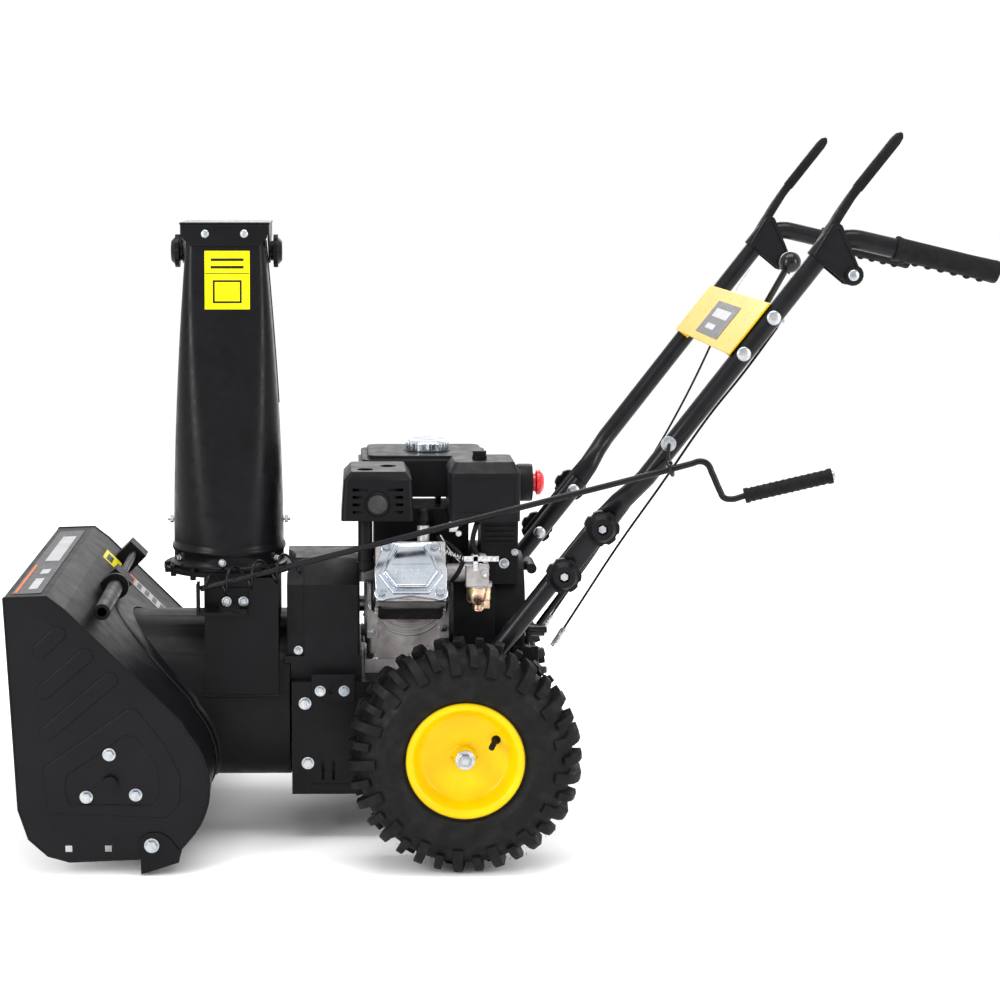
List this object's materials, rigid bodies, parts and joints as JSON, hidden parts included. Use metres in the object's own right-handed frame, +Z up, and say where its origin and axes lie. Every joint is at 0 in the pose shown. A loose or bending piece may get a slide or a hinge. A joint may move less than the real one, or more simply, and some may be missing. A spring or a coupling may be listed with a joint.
{
  "type": "walk-behind snow thrower",
  "caption": "Two-stage walk-behind petrol snow thrower: auger housing, turning chute with crank, lugged wheels, engine and a handle with clutch levers.",
  "frame": {"origin": "centre of the bounding box on the ground", "axes": "+X towards the operator, +Y to the operator's right, +Z up"},
  "size_m": [1.412, 0.6, 1.0648],
  "materials": {
    "painted_housing": "satin",
    "painted_tube": "semi-gloss",
    "black_plastic": "textured",
    "knob_plastic": "satin",
    "yellow_paint": "gloss",
    "yellow_plastic": "gloss",
    "red_plastic": "gloss",
    "zinc": "zinc plated",
    "shaft_steel": "machined",
    "rake_paint": "satin",
    "pulley_steel": "pressed",
    "cast_case": "cast",
    "cast_aluminium": "sand cast",
    "pressed_aluminium": "satin",
    "muffler_steel": "heat stained",
    "bronze": "plain",
    "tyre_rubber": "moulded",
    "soft_rubber": "matt",
    "black_rod": "gloss"
  },
  "bodies": {
    "chassis": {"auger_housing": "painted_housing", "scraper_bar": "painted_housing", "housing_bolts": "zinc", "impeller_casing": "painted_housing", "chute_ring": "painted_housing", "auger_gearbox": "cast_case", "tool_clip": "painted_housing", "transmission_case": "painted_housing", "bottom_cover": "painted_housing", "belt_cover": "black_plastic", "axle_bushings": "bronze", "drive_chain": "shaft_steel", "crankcase": "cast_aluminium", "engine_cylinder": "cast_aluminium", "valve_cover": "pressed_aluminium", "drive_belts": "soft_rubber", "muffler": "muffler_steel", "muffler_guard": "painted_housing", "fuel_tank": "black_plastic", "air_box": "black_plastic", "carburettor": "bronze", "starter_housing": "black_plastic", "handle_lower": "painted_tube", "handle_upper": "painted_tube", "handle_bolts": "zinc", "handle_panel": "yellow_plastic", "grips": "soft_rubber", "cable_left": "soft_rubber", "cable_right": "soft_rubber"},
    "wheels": {"axle": "shaft_steel", "rim_left": "yellow_paint", "rim_right": "yellow_paint", "tyre_left": "tyre_rubber", "tyre_right": "tyre_rubber"},
    "friction_shaft": {"friction_shaft": "shaft_steel"},
    "friction_wheel": {"friction_wheel": "soft_rubber"},
    "drive_disc": {"drive_disc": "pulley_steel"},
    "crankshaft": {"crankshaft": "shaft_steel"},
    "auger": {"auger_shaft": "shaft_steel", "auger_left": "rake_paint", "auger_right": "rake_paint"},
    "impeller": {"impeller_shaft": "shaft_steel", "impeller": "rake_paint", "impeller_pulley": "pulley_steel"},
    "chute": {"chute": "black_plastic"},
    "deflector": {"deflector": "black_plastic"},
    "deflector_knob_front": {"deflector_knob_front": "knob_plastic"},
    "deflector_knob_rear": {"deflector_knob_rear": "knob_plastic"},
    "cleanout_tool": {"cleanout_tool": "black_plastic"},
    "fuel_cap": {"fuel_cap": "pressed_aluminium"},
    "choke_knob": {"choke_knob": "knob_plastic"},
    "stop_switch": {"stop_switch": "red_plastic"},
    "knob_left_upper": {"knob_left_upper": "knob_plastic"},
    "knob_left_lower": {"knob_left_lower": "knob_plastic"},
    "knob_right_upper": {"knob_right_upper": "knob_plastic"},
    "knob_right_lower": {"knob_right_lower": "knob_plastic"},
    "clutch_lever_left": {"clutch_lever_left": "black_plastic"},
    "clutch_lever_right": {"clutch_lever_right": "black_plastic"},
    "shift_lever": {"shift_lever": "black_rod"},
    "crank": {"crank_rod": "black_rod"}
  },
  "joints": [
    {"name": "wheels_roll", "type": "hinge", "parent": "chassis", "child": "wheels", "pos_m": [-0.05, 0, 0.169], "axis": [0, 1, 0], "continuous": true},
    {"name": "friction_shaft_turn", "type": "hinge", "parent": "chassis", "child": "friction_shaft", "pos_m": [-0.1375, 0, 0.166], "axis": [0, 1, 0], "continuous": true},
    {"name": "friction_wheel_slide", "type": "slide", "parent": "friction_shaft", "child": "friction_wheel", "axis": [0, 1, 0], "range_m": [-0.05, 0.05]},
    {"name": "drive_disc_turn", "type": "hinge", "parent": "chassis", "child": "drive_disc", "pos_m": [-0.242, 0, 0.166], "axis": [1, 0, 0], "continuous": true},
    {"name": "crankshaft_turn", "type": "hinge", "parent": "chassis", "child": "crankshaft", "pos_m": [-0.274, 0, 0.34], "axis": [1, 0, 0], "continuous": true},
    {"name": "auger_turn", "type": "hinge", "parent": "chassis", "child": "auger", "pos_m": [-0.56, 0, 0.14], "axis": [0, 1, 0], "continuous": true},
    {"name": "impeller_turn", "type": "hinge", "parent": "chassis", "child": "impeller", "pos_m": [-0.35, 0, 0.201], "axis": [1, 0, 0], "continuous": true},
    {"name": "chute_turn", "type": "hinge", "parent": "chassis", "child": "chute", "pos_m": [-0.4, -0.03, 0.412], "axis": [0, 0, 1], "range_deg": [-90, 90]},
    {"name": "deflector_tilt", "type": "hinge", "parent": "chute", "child": "deflector", "pos_m": [-0.4, -0.008, 0.887], "axis": [1, 0, 0], "range_deg": [-45, 5]},
    {"name": "deflector_knob_front_turn", "type": "hinge", "parent": "chute", "child": "deflector_knob_front", "pos_m": [-0.4665, -0.008, 0.887], "axis": [1, 0, 0], "range_deg": [-720, 720]},
    {"name": "deflector_knob_rear_turn", "type": "hinge", "parent": "chute", "child": "deflector_knob_rear", "pos_m": [-0.3335, -0.008, 0.887], "axis": [1, 0, 0], "range_deg": [-720, 720]},
    {"name": "cleanout_tool_slide", "type": "slide", "parent": "chassis", "child": "cleanout_tool", "axis": [0, -1, 0], "range_m": [0, 0.055]},
    {"name": "fuel_cap_turn", "type": "hinge", "parent": "chassis", "child": "fuel_cap", "pos_m": [-0.092, 0.07, 0.59], "axis": [0, 0, 1], "range_deg": [0, 90]},
    {"name": "choke_turn", "type": "hinge", "parent": "chassis", "child": "choke_knob", "pos_m": [-0.019, -0.07, 0.592], "axis": [0, 0, 1], "range_deg": [0, 90]},
    {"name": "stop_switch_turn", "type": "hinge", "parent": "chassis", "child": "stop_switch", "pos_m": [0.07, -0.062, 0.54], "axis": [1, 0, 0], "range_deg": [0, 90]},
    {"name": "knob_left_upper_turn", "type": "hinge", "parent": "chassis", "child": "knob_left_upper", "pos_m": [0.15006, -0.19, 0.49394], "axis": [0, 1, 0], "range_deg": [-720, 720]},
    {"name": "knob_left_lower_turn", "type": "hinge", "parent": "chassis", "child": "knob_left_lower", "pos_m": [0.096, -0.19, 0.424], "axis": [0, 1, 0], "range_deg": [-720, 720]},
    {"name": "knob_right_upper_turn", "type": "hinge", "parent": "chassis", "child": "knob_right_upper", "pos_m": [0.15006, 0.19, 0.49394], "axis": [0, 1, 0], "range_deg": [-720, 720]},
    {"name": "knob_right_lower_turn", "type": "hinge", "parent": "chassis", "child": "knob_right_lower", "pos_m": [0.096, 0.19, 0.424], "axis": [0, 1, 0], "range_deg": [-720, 720]},
    {"name": "clutch_lever_left_squeeze", "type": "hinge", "parent": "chassis", "child": "clutch_lever_left", "pos_m": [0.49297, -0.222, 0.86108], "axis": [0, 1, 0], "range_deg": [0, 54], "stiffness_Nm_per_rad": 3, "springref_deg": -22.92},
    {"name": "clutch_lever_right_squeeze", "type": "hinge", "parent": "chassis", "child": "clutch_lever_right", "pos_m": [0.49297, 0.222, 0.86108], "axis": [0, 1, 0], "range_deg": [0, 54], "stiffness_Nm_per_rad": 3, "springref_deg": -22.92},
    {"name": "shift_lever_swing", "type": "hinge", "parent": "chassis", "child": "shift_lever", "pos_m": [0.077, 0.02, 0.292], "axis": [1, 0, 0], "range_deg": [-6, 6]},
    {"name": "crank_turn", "type": "hinge", "parent": "chassis", "child": "crank", "pos_m": [-0.436, -0.153, 0.3955], "axis": [0.9512, -0.1469, 0.2715], "range_deg": [-1390, 1390]}
  ],
  "couplings": [
    {"joint": "impeller_turn", "follows": "auger_turn", "ratio": 10},
    {"joint": "friction_shaft_turn", "follows": "wheels_roll", "ratio": 3},
    {"joint": "friction_wheel_slide", "follows": "shift_lever_swing", "m_per_rad": 0.4},
    {"joint": "chute_turn", "follows": "crank_turn", "ratio": 0.0647}
  ]
}
